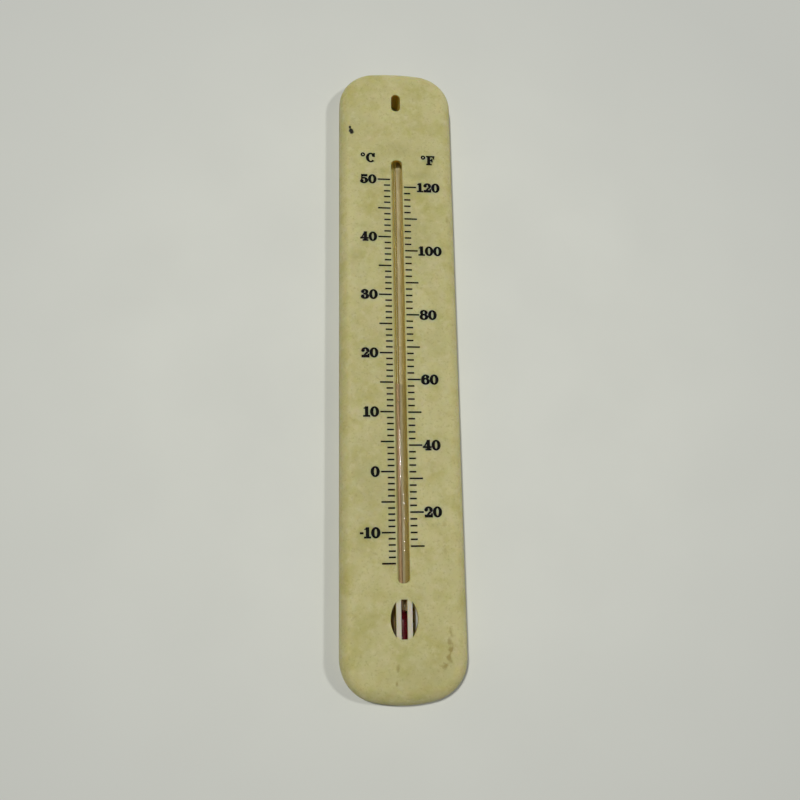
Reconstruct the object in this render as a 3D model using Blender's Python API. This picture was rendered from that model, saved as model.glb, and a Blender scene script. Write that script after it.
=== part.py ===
"""Spirit wall thermometer, lying on its back.

A hollow moulded case, open at the back, holds a spirit-filled glass tube behind a long slot.
+Z points out of the scale face, +Y towards the hanging end, and the rim of the open back is at z = 0.
Only the top of the spirit column moves: it slides along the bore, parallel to Y.
"""

import math

import bmesh
import bpy
from mathutils import Vector

MM = 0.001
GAP = 0.3 * MM

# Case: outline, edge rounding and wall
CASE_LENGTH = 215 * MM
CASE_WIDTH = 39.3 * MM
CASE_DEPTH = 9 * MM
WALL = 1.8 * MM
CORNER_RADIUS = 13 * MM
TOP_BOW_RADIUS = 80 * MM
BOTTOM_BOW_RADIUS = 42 * MM
SIDE_ROUNDING = 4 * MM
END_ROUNDING = 5.4 * MM
CORNER_STEPS = 9
BOW_STEPS = 4
ROUNDING_STEPS = 6

# Openings in the face. Distances named FROM_BOTTOM are measured along Y from the bottom end.
STEM_SLOT_WIDTH = 3.75 * MM
STEM_SLOT_FROM_BOTTOM = (36 * MM, 179 * MM)
STEM_SLOT_CORNER = 1.5 * MM
HANGING_SLOT_WIDTH = 3.1 * MM
HANGING_SLOT_FROM_BOTTOM = (198.1 * MM, 204.6 * MM)
WINDOW_FROM_BOTTOM = 25.3 * MM
WINDOW_HALF_WIDTH = 4.2 * MM
CENTRE_SLIT_WIDTH = 1.85 * MM
CENTRE_SLIT_LENGTH = 11.7 * MM
GUARD_BAR_WIDTH = 1.6 * MM
SIDE_SLIT_LENGTH = 10.4 * MM

# Ribs behind the face
CHANNEL_RIB = 1.3 * MM
CHANNEL_RIB_FOOT = 2 * MM
CHANNEL_FROM_BOTTOM = (33.5 * MM, 188.6 * MM)
CROSS_RIB = 1.2 * MM
CROSS_RIB_FOOT = 5.4 * MM
CROSS_RIBS_FROM_BOTTOM = (60 * MM, 110 * MM, 160 * MM)
HANGING_COLLAR = 1.6 * MM
HANGING_COLLAR_FOOT = 0.6 * MM
RIB_OVERLAP = 0.5 * MM

# Glass tube. The bore is off the axis, and TUBE_TWIST is how far the enamel band is turned towards +X.
TUBE_HEIGHT = 5.2 * MM
STEM_RADIUS = 2.2 * MM
STEM_FROM_BOTTOM = (28.3 * MM, 186.5 * MM)
BORE_RADIUS = 0.45 * MM
BORE_X = -0.35 * MM
BORE_END_WALL = 3 * MM
ENAMEL_THICKNESS = 0.4 * MM
ENAMEL_HALF_ANGLE = math.radians(60)
ENAMEL_FROM_BOTTOM = (34 * MM, 182 * MM)
TUBE_TWIST = math.radians(6)
GLASS_CLEARANCE = 0.05 * MM
BULB_RADIUS = 2.5 * MM
BULB_FROM_BOTTOM = (14.4 * MM, 28 * MM)
BULB_WALL = 0.5 * MM
BULB_NECK_RADIUS = 1.5 * MM
BULB_SHOULDER = 2.4 * MM

# Spirit, at a reading of about 15 degrees Celsius
SPIRIT_TOP_FROM_BOTTOM = 99.8 * MM
MENISCUS_LENGTH = 6 * MM
MENISCUS_DISH = 0.2 * MM

# Cement that holds the tube: one long dab under the bulb and the channel's lower end, and two up the channel
DABS = {"lower": (26.2 * MM, 9.2 * MM), "middle": (108 * MM, 5.2 * MM), "upper": (178 * MM, 5.2 * MM)}
DAB_HALF_WIDTH = 4 * MM
DAB_SKIN = 1.1 * MM
DAB_EDGE = math.radians(80)
DAB_PLUG_SHARE = 0.8

# Fineness of the round forms
TUBE_SEGMENTS = 32
BORE_SEGMENTS = 16
SLOT_CORNER_STEPS = 5
ENAMEL_STEPS = 12
DOME_STEPS = 5
DOME_END = math.radians(75)
SHOULDER_STEPS = 6
DAB_STEPS = 5
DISH_SHARES = (0.8, 0.5, 0.2)

CUT_MARGIN = 1 * MM
SMOOTH_ANGLE = 30
ROUND_SMOOTH_ANGLE = 40

FACE_BACK = CASE_DEPTH - WALL


def along(from_bottom):
    """The Y of a place given by its distance from the bottom end."""
    return from_bottom - CASE_LENGTH / 2


def clear_scene():
    for old in list(bpy.data.objects):
        bpy.data.objects.remove(old)


def material(name, color, roughness, transmission=0.0):
    made = bpy.data.materials.new(name)
    made.use_nodes = True
    shader = made.node_tree.nodes["Principled BSDF"]
    shader.inputs["Base Color"].default_value = (*color, 1)
    shader.inputs["Roughness"].default_value = roughness
    shader.inputs["Metallic"].default_value = 0
    shader.inputs["Transmission Weight"].default_value = transmission
    return made


def loft(name, rings):
    """A closed solid through rings of points, each ring the same way round, with its two ends capped."""
    mesh = bmesh.new()
    rows = [[mesh.verts.new(point) for point in ring] for ring in rings]
    count = len(rings[0])
    for lower, upper in zip(rows, rows[1:]):
        for i in range(count):
            j = (i + 1) % count
            mesh.faces.new((lower[i], lower[j], upper[j], upper[i]))
    mesh.faces.new(rows[0])
    mesh.faces.new(rows[-1])
    bmesh.ops.recalc_face_normals(mesh, faces=mesh.faces)
    data = bpy.data.meshes.new(name)
    mesh.to_mesh(data)
    mesh.free()
    made = bpy.data.objects.new(name, data)
    bpy.context.scene.collection.objects.link(made)
    return made


def prism(name, outline, low, high):
    """A flat outline of (x, y) points, extruded from z = low to z = high."""
    return loft(name, [[(x, y, z) for x, y in outline] for z in (low, high)])


def rectangle(x_range, y_range):
    (x0, x1), (y0, y1) = x_range, y_range
    return [(x0, y0), (x1, y0), (x1, y1), (x0, y1)]


def rounded_slot(width, y_range, corner):
    """A slot along Y, centred on x = 0, whose four corners are rounded."""
    reach = width / 2 - corner
    corners = ((reach, y_range[1] - corner), (-reach, y_range[1] - corner),
               (-reach, y_range[0] + corner), (reach, y_range[0] + corner))
    points = []
    for quarter, (x, y) in enumerate(corners):
        for step in range(SLOT_CORNER_STEPS + 1):
            angle = math.pi / 2 * (quarter + step / SLOT_CORNER_STEPS)
            points.append((x + corner * math.cos(angle), y + corner * math.sin(angle)))
    return points


def circular_segment(side, inner_x, outer_x, centre_y, half_length):
    """The D-shaped slit between a guard bar at inner_x and an arc that bulges to outer_x."""
    bulge = outer_x - inner_x
    radius = (half_length**2 + bulge**2) / (2 * bulge)
    sweep = math.asin(half_length / radius)
    steps = 2 * SLOT_CORNER_STEPS
    angles = [sweep * (2 * step / steps - 1) for step in range(steps + 1)]
    middle = outer_x - radius
    return [(side * (middle + radius * math.cos(a)), centre_y + radius * math.sin(a)) for a in angles]


def boolean(target, tool, operation):
    """Adds the cut or the join, and keeps its tool out of the finished object."""
    step = target.modifiers.new(tool.name, "BOOLEAN")
    step.operation = operation
    step.solver = "EXACT"
    step.object = tool
    tool.hide_render = True
    tool.display_type = "WIRE"


def cut(target, tool):
    boolean(target, tool, "DIFFERENCE")


def join(target, tool):
    boolean(target, tool, "UNION")


def finish(made, surface, smooth_angle):
    made.data.materials.append(surface)
    made.data.shade_smooth()
    made.data.set_sharp_from_angle(angle=math.radians(smooth_angle))
    return made


def case_outline(inset):
    """(point, outward normal) pairs round the case: straight sides, round corners and bowed ends."""
    corner_x = CASE_WIDTH / 2 - CORNER_RADIUS
    pairs = []
    for end, bow in ((1, TOP_BOW_RADIUS), (-1, BOTTOM_BOW_RADIUS)):
        bow_y = CASE_LENGTH / 2 - bow
        lean = math.asin(corner_x / (bow - CORNER_RADIUS))
        corner_y = bow_y + (bow - CORNER_RADIUS) * math.cos(lean)
        quarter = math.pi / 2
        stretches = ((corner_x, corner_y, CORNER_RADIUS, 0, quarter - lean, CORNER_STEPS),
                     (0, bow_y, bow, quarter - lean, quarter + lean, BOW_STEPS),
                     (-corner_x, corner_y, CORNER_RADIUS, quarter + lean, 2 * quarter, CORNER_STEPS))
        for x, y, radius, start, stop, steps in stretches:
            first = 0 if radius == CORNER_RADIUS else 1
            last = steps if radius == CORNER_RADIUS else steps - 1
            for step in range(first, last + 1):
                angle = start + (stop - start) * step / steps
                normal = Vector((end * math.cos(angle), end * math.sin(angle)))
                centre = Vector((end * x, end * y))
                pairs.append((centre + (radius - inset) * normal, normal))
    return pairs


def case_form(name, inset, foot):
    """The case's outer form, or with an inset its cavity: upright sides that round over into the face."""
    pairs = case_outline(inset)
    top = CASE_DEPTH - inset
    rings = [[(p.x, p.y, foot) for p, _ in pairs]]
    for step in range(ROUNDING_STEPS + 1):
        angle = math.pi / 2 * step / ROUNDING_STEPS
        ring = []
        for point, normal in pairs:
            rounding = SIDE_ROUNDING + (END_ROUNDING - SIDE_ROUNDING) * normal.y**2 - inset
            moved = point - normal * rounding * (1 - math.cos(angle))
            ring.append((moved.x, moved.y, top - rounding * (1 - math.sin(angle))))
        rings.append(ring)
    return loft(name, rings)


def face_cutter(name, outline):
    return prism(name, outline, FACE_BACK - CUT_MARGIN, CASE_DEPTH + CUT_MARGIN)


def rib(name, x_range, y_range, foot):
    return prism(name, rectangle(x_range, y_range), foot, FACE_BACK + RIB_OVERLAP)


def add_ribs(case):
    """The channel that the tube lies in, its end stop, the cross ribs and the collar of the hanging slot."""
    inner = STEM_RADIUS + GAP
    outer = inner + CHANNEL_RIB
    start, stop = (along(d) for d in CHANNEL_FROM_BOTTOM)
    wall_x = CASE_WIDTH / 2 - WALL + RIB_OVERLAP
    for name, side in (("left", -1), ("right", 1)):
        faces = sorted((side * inner, side * outer))
        join(case, rib(f"channel_rib_{name}", faces, (start, stop), CHANNEL_RIB_FOOT))
        for number, place in enumerate(CROSS_RIBS_FROM_BOTTOM, 1):
            reach = sorted((side * (inner + CHANNEL_RIB / 2), side * wall_x))
            middle = along(place)
            width = (middle - CROSS_RIB / 2, middle + CROSS_RIB / 2)
            join(case, rib(f"cross_rib_{name}_{number}", reach, width, CROSS_RIB_FOOT))
    tie = (-inner - CHANNEL_RIB / 2, inner + CHANNEL_RIB / 2)
    join(case, rib("channel_end_stop", tie, (stop - CHANNEL_RIB, stop), CHANNEL_RIB_FOOT))
    low, high = (along(d) for d in HANGING_SLOT_FROM_BOTTOM)
    width = HANGING_SLOT_WIDTH + 2 * HANGING_COLLAR
    outline = rounded_slot(width, (low - HANGING_COLLAR, high + HANGING_COLLAR), width / 2)
    join(case, prism("hanging_collar", outline, HANGING_COLLAR_FOOT, FACE_BACK + RIB_OVERLAP))


def cut_face(case):
    """The stem's slot, the hanging slot, and the bulb window with its two guard bars."""
    stem_slot = rounded_slot(STEM_SLOT_WIDTH, [along(d) for d in STEM_SLOT_FROM_BOTTOM], STEM_SLOT_CORNER)
    cut(case, face_cutter("stem_slot_cutter", stem_slot))
    hanging_y = [along(d) for d in HANGING_SLOT_FROM_BOTTOM]
    hanging = rounded_slot(HANGING_SLOT_WIDTH, hanging_y, HANGING_SLOT_WIDTH / 2)
    cut(case, prism("hanging_slot_cutter", hanging, HANGING_COLLAR_FOOT - CUT_MARGIN, CASE_DEPTH + CUT_MARGIN))
    window_y = along(WINDOW_FROM_BOTTOM)
    slit_x = CENTRE_SLIT_WIDTH / 2
    slit_y = (window_y - CENTRE_SLIT_LENGTH / 2, window_y + CENTRE_SLIT_LENGTH / 2)
    cut(case, face_cutter("centre_slit_cutter", rectangle((-slit_x, slit_x), slit_y)))
    bar_x = slit_x + GUARD_BAR_WIDTH
    for name, side in (("left", -1), ("right", 1)):
        outline = circular_segment(side, bar_x, WINDOW_HALF_WIDTH, window_y, SIDE_SLIT_LENGTH / 2)
        cut(case, face_cutter(f"side_slit_cutter_{name}", outline))


def make_case(surface):
    case = case_form("case", 0, 0)
    cut(case, case_form("case_cavity", WALL, -CUT_MARGIN))
    bulb_foot, stem_foot, stem_head = (along(d) for d in (BULB_FROM_BOTTOM[0], *STEM_FROM_BOTTOM))
    seat = [(BULB_RADIUS + GAP, bulb_foot - CUT_MARGIN), (BULB_RADIUS + GAP, stem_foot + CUT_MARGIN),
            (STEM_RADIUS + GAP, stem_foot + CUT_MARGIN), (STEM_RADIUS + GAP, stem_head + GAP)]
    cut(case, turned("tube_seat_cutter", seat, TUBE_SEGMENTS))
    add_ribs(case)
    cut_face(case)
    return finish(case, surface, SMOOTH_ANGLE)


def circle(radius, x, y, segments):
    """A ring round the tube's axis, or round a line at x beside it."""
    angles = [2 * math.pi * i / segments for i in range(segments)]
    return [(x + radius * math.cos(a), y, TUBE_HEIGHT + radius * math.sin(a)) for a in angles]


def turned(name, profile, segments, x=0.0):
    """A solid of revolution about the tube's axis, or about a line at x beside it, from (radius, y) pairs."""
    return loft(name, [circle(radius, x, y, segments) for radius, y in profile])


def dome(radius, y, direction):
    """(radius, y) pairs from the base of a round end to near its pole, at y + direction * radius."""
    angles = [DOME_END * step / DOME_STEPS for step in range(DOME_STEPS + 1)]
    return [(radius * math.cos(a), y + direction * radius * math.sin(a)) for a in angles]


def enamel_form(name, radii, half_angle, y_range):
    """A strip that hugs the rear of the stem, turned from straight behind it by TUBE_TWIST."""
    middle = -math.pi / 2 + TUBE_TWIST
    angles = [middle + half_angle * (2 * step / ENAMEL_STEPS - 1) for step in range(ENAMEL_STEPS + 1)]
    outer = [(radii[1] * math.cos(a), radii[1] * math.sin(a)) for a in angles]
    inner = [(radii[0] * math.cos(a), radii[0] * math.sin(a)) for a in reversed(angles)]
    return loft(name, [[(x, y, TUBE_HEIGHT + z) for x, z in outer + inner] for y in y_range])


def make_stem(surface):
    foot, head = (along(d) for d in STEM_FROM_BOTTOM)
    profile = [(STEM_RADIUS, foot)] + dome(STEM_RADIUS, head - STEM_RADIUS, 1)
    stem = turned("glass_stem", profile, TUBE_SEGMENTS)
    bore = [(BORE_RADIUS, foot - CUT_MARGIN), (BORE_RADIUS, head - BORE_END_WALL)]
    cut(stem, turned("bore_cutter", bore, BORE_SEGMENTS, BORE_X))
    radii = (STEM_RADIUS - ENAMEL_THICKNESS, STEM_RADIUS + CUT_MARGIN)
    margin = GLASS_CLEARANCE / STEM_RADIUS
    y_range = [along(d) + m for d, m in zip(ENAMEL_FROM_BOTTOM, (-GLASS_CLEARANCE, GLASS_CLEARANCE))]
    cut(stem, enamel_form("enamel_groove_cutter", radii, ENAMEL_HALF_ANGLE + margin, y_range))
    return finish(stem, surface, SMOOTH_ANGLE)


def make_enamel(surface):
    radii = (STEM_RADIUS - ENAMEL_THICKNESS + GLASS_CLEARANCE, STEM_RADIUS)
    strip = enamel_form("enamel_strip", radii, ENAMEL_HALF_ANGLE, [along(d) for d in ENAMEL_FROM_BOTTOM])
    return finish(strip, surface, SMOOTH_ANGLE)


def bulb_profile(inset):
    """(radius, y) pairs of the bulb from its round bottom to its neck, inset for the inside of the glass."""
    foot, head = (along(d) for d in BULB_FROM_BOTTOM)
    radius = BULB_RADIUS - inset
    neck = BULB_NECK_RADIUS - 2 * inset
    pairs = [(r, y) for r, y in reversed(dome(radius, foot + BULB_RADIUS, -1))]
    for step in range(SHOULDER_STEPS + 1):
        share = step / SHOULDER_STEPS
        ease = share * share * (3 - 2 * share)
        y = head - BULB_SHOULDER * (1 - share) - inset
        pairs.append((radius + (neck - radius) * ease, y))
    return pairs


def make_bulb(surface):
    head = along(BULB_FROM_BOTTOM[1])
    bulb = turned("glass_bulb", bulb_profile(0), TUBE_SEGMENTS)
    inside = bulb_profile(BULB_WALL)
    inside.append((inside[-1][0], head + CUT_MARGIN))
    cut(bulb, turned("bulb_cavity_cutter", inside, TUBE_SEGMENTS))
    return finish(bulb, surface, SMOOTH_ANGLE)


def make_reservoir(surface):
    inside = bulb_profile(BULB_WALL + GLASS_CLEARANCE)
    inside.append((inside[-1][0], along(BULB_FROM_BOTTOM[1])))
    return finish(turned("spirit_reservoir", inside, TUBE_SEGMENTS), surface, SMOOTH_ANGLE)


def make_thread(surface):
    radius = BORE_RADIUS - GLASS_CLEARANCE
    top = along(SPIRIT_TOP_FROM_BOTTOM) - MENISCUS_LENGTH - GAP
    profile = [(radius, along(STEM_FROM_BOTTOM[0])), (radius, top)]
    thread = turned("spirit_thread", profile, BORE_SEGMENTS, BORE_X)
    return finish(thread, surface, ROUND_SMOOTH_ANGLE)


def make_meniscus(surface):
    """The top of the column, whose surface is dished where the spirit climbs the glass."""
    radius = BORE_RADIUS - GLASS_CLEARANCE
    top = along(SPIRIT_TOP_FROM_BOTTOM)
    profile = [(radius, top - MENISCUS_LENGTH), (radius, top)]
    for share in DISH_SHARES:
        profile.append((radius * share, top - MENISCUS_DISH * (1 - share**2)))
    meniscus = turned("spirit_meniscus", profile, BORE_SEGMENTS, BORE_X)
    origin = Vector((BORE_X, top, TUBE_HEIGHT))
    for vertex in meniscus.data.vertices:
        vertex.co -= origin
    meniscus.location = origin
    return finish(meniscus, surface, ROUND_SMOOTH_ANGLE)


def ellipse(half_width, half_length, y, z):
    angles = [2 * math.pi * i / TUBE_SEGMENTS for i in range(TUBE_SEGMENTS)]
    return [(half_width * math.cos(a), y + half_length * math.sin(a), z) for a in angles]


def make_dab(name, y, half_length, tube_radius, surface):
    """A domed skin of cement under the channel ribs, with a plug that rises between them to the glass."""
    skin_top = CHANNEL_RIB_FOOT - GAP
    rings = []
    for step in range(DAB_STEPS + 1):
        angle = DAB_EDGE * (1 - step / DAB_STEPS)
        share = math.cos(angle)
        z = skin_top - DAB_SKIN * math.sin(angle)
        rings.append(ellipse(DAB_HALF_WIDTH * share, half_length * share, y, z))
    dab = loft(name, rings)
    levels = (skin_top - DAB_SKIN / 2, TUBE_HEIGHT - tube_radius - GAP)
    plug = [ellipse(STEM_RADIUS, half_length * DAB_PLUG_SHARE, y, z) for z in levels]
    join(dab, loft(f"{name}_plug", plug))
    return finish(dab, surface, ROUND_SMOOTH_ANGLE)


clear_scene()
PLASTIC = material("yellowed_plastic", (0.55, 0.50, 0.24), 0.45)
GLASS = material("clear_glass", (0.9, 0.95, 0.9), 0.05, transmission=1.0)
ENAMEL = material("white_enamel", (0.82, 0.78, 0.68), 0.3)
SPIRIT = material("red_spirit", (0.35, 0.02, 0.03), 0.1, transmission=0.5)
FADED_SPIRIT = material("faded_spirit", (0.45, 0.20, 0.13), 0.1, transmission=0.3)
CEMENT = material("cement", (0.62, 0.52, 0.32), 0.4)

make_case(PLASTIC)
make_stem(GLASS)
make_enamel(ENAMEL)
make_bulb(GLASS)
make_reservoir(SPIRIT)
make_thread(FADED_SPIRIT)
make_meniscus(FADED_SPIRIT)
for place, (distance, half_length) in DABS.items():
    glass_radius = BULB_RADIUS if place == "lower" else STEM_RADIUS
    make_dab(f"cement_dab_{place}", along(distance), half_length, glass_radius, CEMENT)
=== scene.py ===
"""Looks of the wall thermometer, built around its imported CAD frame.

Lengths are written in millimetres and multiplied by MM. The face of the case looks up, along +Z.
"""

import math

import bmesh
import bpy
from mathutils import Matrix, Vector, noise
from mathutils.geometry import delaunay_2d_cdt


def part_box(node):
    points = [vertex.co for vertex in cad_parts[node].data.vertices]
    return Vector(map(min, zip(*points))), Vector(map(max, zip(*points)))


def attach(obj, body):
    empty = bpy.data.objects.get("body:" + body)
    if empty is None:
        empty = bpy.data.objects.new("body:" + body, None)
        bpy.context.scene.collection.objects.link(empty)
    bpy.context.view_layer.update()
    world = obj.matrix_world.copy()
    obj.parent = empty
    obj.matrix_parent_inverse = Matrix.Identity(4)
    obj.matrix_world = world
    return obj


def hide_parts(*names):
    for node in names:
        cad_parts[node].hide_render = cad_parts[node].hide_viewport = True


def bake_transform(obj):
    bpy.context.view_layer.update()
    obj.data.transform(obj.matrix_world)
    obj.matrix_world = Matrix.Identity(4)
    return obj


MM = 0.001
BODY = "thermometer"
COLUMN = "spirit_column"

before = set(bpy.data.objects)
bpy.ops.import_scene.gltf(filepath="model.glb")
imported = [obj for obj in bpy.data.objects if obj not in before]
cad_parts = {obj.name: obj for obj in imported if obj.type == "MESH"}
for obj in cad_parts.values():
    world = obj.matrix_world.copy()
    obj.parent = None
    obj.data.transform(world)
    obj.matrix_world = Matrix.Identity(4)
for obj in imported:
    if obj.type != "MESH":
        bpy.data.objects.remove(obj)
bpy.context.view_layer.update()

# Sizes read from the frame
CASE_LOW, CASE_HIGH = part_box("case")
CASE_LENGTH = CASE_HIGH.y - CASE_LOW.y
CASE_WIDTH = CASE_HIGH.x - CASE_LOW.x
CASE_DEPTH = CASE_HIGH.z - CASE_LOW.z
STEM_LOW, STEM_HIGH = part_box("glass_stem")
STEM_RADIUS = (STEM_HIGH.x - STEM_LOW.x) / 2
TUBE_HEIGHT = STEM_HIGH.z - STEM_RADIUS
BULB_LOW, BULB_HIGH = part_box("glass_bulb")
BULB_RADIUS = (BULB_HIGH.x - BULB_LOW.x) / 2
ENAMEL_LOW, ENAMEL_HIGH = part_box("enamel_strip")
THREAD_LOW, THREAD_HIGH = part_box("spirit_thread")
THREAD_RADIUS = (THREAD_HIGH.x - THREAD_LOW.x) / 2
BORE_X = (THREAD_LOW.x + THREAD_HIGH.x) / 2
MENISCUS_LOW, MENISCUS_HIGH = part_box("spirit_meniscus")

# The case's form, as in CAD, with finer steps and with the small radius that a mould leaves on each edge
WALL = 1.8 * MM
CORNER_RADIUS = 13 * MM
TOP_BOW_RADIUS = 80 * MM
BOTTOM_BOW_RADIUS = 42 * MM
SIDE_ROUNDING = 4 * MM
END_ROUNDING = 5.4 * MM
RIM_ROUNDING = 0.35 * MM
EDGE_ROUNDING = 0.25 * MM
CORNER_STEPS = 20
BOW_STEPS = 10
ROUNDING_STEPS = 14
EDGE_STEPS = 4
SLIT_ARC_STEPS = 32

STEM_SLOT_WIDTH = 3.75 * MM
STEM_SLOT_FROM_BOTTOM = (36 * MM, 179 * MM)
STEM_SLOT_CORNER = 1.5 * MM
HANGING_SLOT_WIDTH = 3.1 * MM
HANGING_SLOT_FROM_BOTTOM = (198.1 * MM, 204.6 * MM)
WINDOW_FROM_BOTTOM = 25.3 * MM
WINDOW_HALF_WIDTH = 4.2 * MM
CENTRE_SLIT_WIDTH = 1.85 * MM
CENTRE_SLIT_LENGTH = 11.7 * MM
CENTRE_SLIT_CORNER = 0.15 * MM
GUARD_BAR_WIDTH = 1.6 * MM
SIDE_SLIT_LENGTH = 10.4 * MM
CHANNEL_RIB = 1.3 * MM
CHANNEL_RIB_FOOT = 2 * MM
CHANNEL_FROM_BOTTOM = (33.5 * MM, 188.6 * MM)
CROSS_RIB = 1.2 * MM
CROSS_RIB_FOOT = 5.4 * MM
CROSS_RIBS_FROM_BOTTOM = (60 * MM, 110 * MM, 160 * MM)
HANGING_COLLAR = 1.6 * MM
HANGING_COLLAR_FOOT = 0.6 * MM
OVERLAP = 0.5 * MM
GAP = 0.3 * MM
MARGIN = 1 * MM
SLOT_CORNER_STEPS = 8
FACE_BACK = CASE_DEPTH - WALL

# The tube. CAD leaves a gap between the glass and what lies in it. Here the bore, the groove behind the
# enamel and the bulb's cavity overlap their filling by up to CLEARANCE instead, because the film of air in
# a gap would act as a mirror.
TUBE_SEGMENTS = 64
BORE_SEGMENTS = 32
BORE_RADIUS = 0.38 * MM
BORE_END_WALL = 3 * MM
ENAMEL_THICKNESS = 0.4 * MM
ENAMEL_HALF_ANGLE = math.radians(60)
TUBE_TWIST = math.radians(6)
CLEARANCE = 0.05 * MM
BULB_WALL = 0.5 * MM
BULB_NECK_RADIUS = 1.5 * MM
BULB_SHOULDER = 2.4 * MM
MENISCUS_DISH = 0.2 * MM
DOME_STEPS = 12
DOME_END = math.radians(88)
ENAMEL_STEPS = 20
SHOULDER_STEPS = 14
DISH_STEPS = 8

# The cement
WELD = 0.01 * MM
CEMENT_CELL = 0.25 * MM
CEMENT_SOFTENING = 6
CEMENT_LUMP = 1.6 * MM
CEMENT_DENT = 0.25 * MM

# The angle past which an edge is shaded as sharp
SHARP_ANGLE = math.radians(30)
CASE_SHARP_ANGLE = math.radians(32)
SPIRIT_SHARP_ANGLE = math.radians(40)
CEMENT_SHARP_ANGLE = math.radians(60)
INK_SHARP_ANGLE = math.radians(25)
LARGE_FACE_WEIGHT = 100

# Printed scale. A height is measured along the case from its middle.
ZERO_HEIGHT = -37.05 * MM
DEGREE_PITCH = 1.9183 * MM
DEGREE_STRETCH = 0.001482 * MM
DEGREE_STRETCH_RATE = 0.0000123 * MM
FAHRENHEIT_DROP = 0.08 * MM
FAHRENHEIT_DROP_RATE = 0.005 * MM
INK_TOP = 0.02 * MM
INK_ROOT = 0.01 * MM
TICK_WIDTH = 0.52 * MM
TICK_START = 2.35 * MM
SHORT_TICK = 2.2 * MM
LONG_TICK = 4.3 * MM
FIGURE_HEIGHT = 3.2 * MM
UNIT_HEIGHT = 3.35 * MM
FIGURE_GAP = 0.05
FIGURE_BOLDNESS = 0.038
CELSIUS_TICKS = range(-15, 51)
CELSIUS_FIGURES = range(-10, 51, 10)
CELSIUS_LONG_EVERY = 5
FAHRENHEIT_TICKS = range(10, 122, 2)
FAHRENHEIT_FIGURES = range(20, 121, 20)
FAHRENHEIT_LONG_EVERY = 10
CELSIUS_FIGURE_EDGE = -7.15 * MM
FAHRENHEIT_FIGURE_EDGE = 6.85 * MM
CELSIUS_UNIT_FROM_BOTTOM = 178 * MM
FAHRENHEIT_UNIT_FROM_BOTTOM = 177.65 * MM
CELSIUS_UNIT_START = -12.35 * MM
FAHRENHEIT_UNIT_START = 8.6 * MM
BOW_STEP = 7.5
MERGE_TOLERANCE = 1e-5
TRIANGLES_INSIDE = 1
FLAT_ANGLE = math.radians(1)


def along(from_bottom):
    """The Y of a place given by its distance from the bottom end."""
    return from_bottom + CASE_LOW.y


# ---------------------------------------------------------------- meshes


def new_object(name, mesh):
    data = bpy.data.meshes.new(name)
    mesh.to_mesh(data)
    mesh.free()
    made = bpy.data.objects.new(name, data)
    bpy.context.scene.collection.objects.link(made)
    return made


def loft(name, rings):
    """A closed solid through rings of points, each ring the same way round, with its two ends capped."""
    mesh = bmesh.new()
    rows = [[mesh.verts.new(point) for point in ring] for ring in rings]
    count = len(rings[0])
    for lower, upper in zip(rows, rows[1:]):
        for i in range(count):
            j = (i + 1) % count
            mesh.faces.new((lower[i], lower[j], upper[j], upper[i]))
    mesh.faces.new(rows[0])
    mesh.faces.new(rows[-1])
    bmesh.ops.recalc_face_normals(mesh, faces=mesh.faces)
    return new_object(name, mesh)


def prism(name, outline, low, high):
    return loft(name, [[(x, y, z) for x, y in outline] for z in (low, high)])


def rectangle(x_range, y_range):
    (x0, x1), (y0, y1) = x_range, y_range
    return [(x0, y0), (x1, y0), (x1, y1), (x0, y1)]


def rounded_slot(width, y_range, corner):
    """A slot along Y, centred on x = 0, whose four corners are rounded."""
    reach = width / 2 - corner
    corners = ((reach, y_range[1] - corner), (-reach, y_range[1] - corner),
               (-reach, y_range[0] + corner), (reach, y_range[0] + corner))
    points = []
    for quarter, (x, y) in enumerate(corners):
        for step in range(SLOT_CORNER_STEPS + 1):
            angle = math.pi / 2 * (quarter + step / SLOT_CORNER_STEPS)
            points.append((x + corner * math.cos(angle), y + corner * math.sin(angle)))
    return points


def circular_segment(side, inner_x, outer_x, centre_y, half_length):
    """The D-shaped slit between a guard bar at inner_x and an arc that bulges to outer_x."""
    bulge = outer_x - inner_x
    radius = (half_length**2 + bulge**2) / (2 * bulge)
    sweep = math.asin(half_length / radius)
    angles = [sweep * (2 * step / SLIT_ARC_STEPS - 1) for step in range(SLIT_ARC_STEPS + 1)]
    middle = outer_x - radius
    return [(side * (middle + radius * math.cos(a)), centre_y + radius * math.sin(a)) for a in angles]


def solve(target, tools, operation):
    """Cuts the tools out of the target, or joins them to it, one after another, and then removes them."""
    for tool in tools:
        step = target.modifiers.new(tool.name, "BOOLEAN")
        step.operation = operation
        step.solver = "EXACT"
        step.object = tool
    depsgraph = bpy.context.evaluated_depsgraph_get()
    solved = bpy.data.meshes.new_from_object(target.evaluated_get(depsgraph))
    target.modifiers.clear()
    target.data = solved
    for tool in tools:
        bpy.data.objects.remove(tool)


def finish(piece, surface, sharp=SHARP_ANGLE, body=BODY, replaced=()):
    """Gives a piece its material, its shading and the body that it rides on."""
    piece.data.materials.clear()
    piece.data.materials.append(surface)
    piece.data.shade_smooth()
    piece.data.set_sharp_from_angle(angle=sharp)
    if replaced:
        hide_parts(*replaced)
    if body:
        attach(piece, body)
    return piece


def shadowless(piece):
    """Lets light through to the enamel, which would otherwise lie in the shadow of the glass.

    The enamel and the faded spirit then get too much light, so their colours are set dark to make up for it.
    """
    piece.visible_shadow = False
    return piece


def weighted(piece):
    """Keeps large flat faces flat where they meet small rounded ones."""
    step = piece.modifiers.new("weighted_normals", "WEIGHTED_NORMAL")
    step.keep_sharp = True
    step.weight = LARGE_FACE_WEIGHT
    return piece


# ---------------------------------------------------------------- case


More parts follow.
